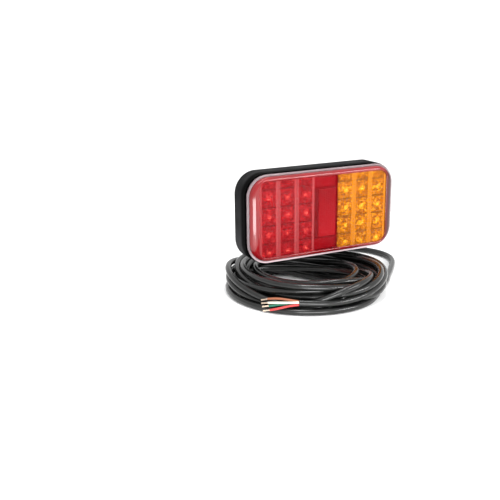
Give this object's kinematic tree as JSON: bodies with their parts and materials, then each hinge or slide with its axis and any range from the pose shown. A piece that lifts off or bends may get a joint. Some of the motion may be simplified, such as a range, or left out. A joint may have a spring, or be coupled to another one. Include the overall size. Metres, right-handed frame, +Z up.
{
  "type": "trailer tail light",
  "caption": "Rectangular LED rear lamp for a trailer with stop and tail, reflex reflector and indicator windows, two fixing studs and a coiled four-core lead.",
  "frame": {"origin": "centre of the flat mounting face at the back of the housing, level with the two fixing studs", "axes": "+Z up; +Y out of the mounting face, away from the lens, which faces -Y; +X to the right as the lens is seen from the front, along the lamp's length"},
  "size_m": [0.1877, 0.1722, 0.1041],
  "materials": {
    "housing_plastic": "fine moulded texture",
    "seal_rubber": "matte",
    "lens_clear": "polished, clear",
    "lens_red": "polished, transparent red",
    "lens_amber": "polished, transparent amber",
    "reflex_red": "polished",
    "tray_plastic": "satin white",
    "board_laminate": "solder mask",
    "zinc_steel": "zinc plated",
    "led_red": "clear epoxy",
    "led_amber": "clear epoxy",
    "chip_black": "matte",
    "can_aluminium": "satin",
    "tinned_copper": "bright strands",
    "cable_sheath": "satin sheath",
    "grip_plastic": "matte",
    "core_brown": "satin insulation",
    "core_white": "satin insulation",
    "core_green": "satin insulation",
    "core_red": "satin insulation"
  },
  "bodies": {
    "lamp": {"base_housing": "housing_plastic", "lens_seal": "seal_rubber", "lens_rim": "lens_clear", "lens_red": "lens_red", "lens_amber": "lens_amber", "reflex_reflector": "reflex_red", "red_cell_tray": "tray_plastic", "amber_cell_tray": "tray_plastic", "circuit_board": "board_laminate", "board_screws": "zinc_steel", "red_leds": "led_red", "amber_leds": "led_amber", "resistors": "chip_black", "diodes": "chip_black", "driver_chips": "chip_black", "filter_capacitors": "can_aluminium", "solder_terminals": "tinned_copper", "inner_core_brown": "core_brown", "inner_core_white": "core_white", "inner_core_green": "core_green", "inner_core_red": "core_red", "cable_gland": "seal_rubber", "inner_sheath": "cable_sheath", "cord_grip": "grip_plastic", "cord_grip_screws": "zinc_steel", "mounting_studs": "zinc_steel", "cable_lead": "cable_sheath", "cable_coil": "cable_sheath", "cable_tail": "cable_sheath", "core_brown": "core_brown", "core_white": "core_white", "core_green": "core_green", "core_red": "core_red", "bare_core_ends": "tinned_copper"},
    "washers_left": {"washer_left": "zinc_steel", "spring_washer_left": "zinc_steel"},
    "nut_left": {"nut_left": "zinc_steel"},
    "washers_right": {"washer_right": "zinc_steel", "spring_washer_right": "zinc_steel"},
    "nut_right": {"nut_right": "zinc_steel"}
  },
  "joints": [
    {"name": "washers_left_slide", "type": "slide", "parent": "lamp", "child": "washers_left", "axis": [0, 1, 0], "range_m": [0, 0.0136]},
    {"name": "nut_left_turn", "type": "hinge", "parent": "washers_left", "child": "nut_left", "pos_m": [-0.025, 0, 0], "axis": [0, 1, 0], "range_deg": [0, 6121]},
    {"name": "washers_right_slide", "type": "slide", "parent": "lamp", "child": "washers_right", "axis": [0, 1, 0], "range_m": [0, 0.0136]},
    {"name": "nut_right_turn", "type": "hinge", "parent": "washers_right", "child": "nut_right", "pos_m": [0.025, 0, 0], "axis": [0, 1, 0], "range_deg": [0, 6121]}
  ],
  "couplings": [
    {"joint": "nut_left_turn", "follows": "washers_left_slide", "rad_per_m": 7854},
    {"joint": "nut_right_turn", "follows": "washers_right_slide", "rad_per_m": 7854}
  ]
}
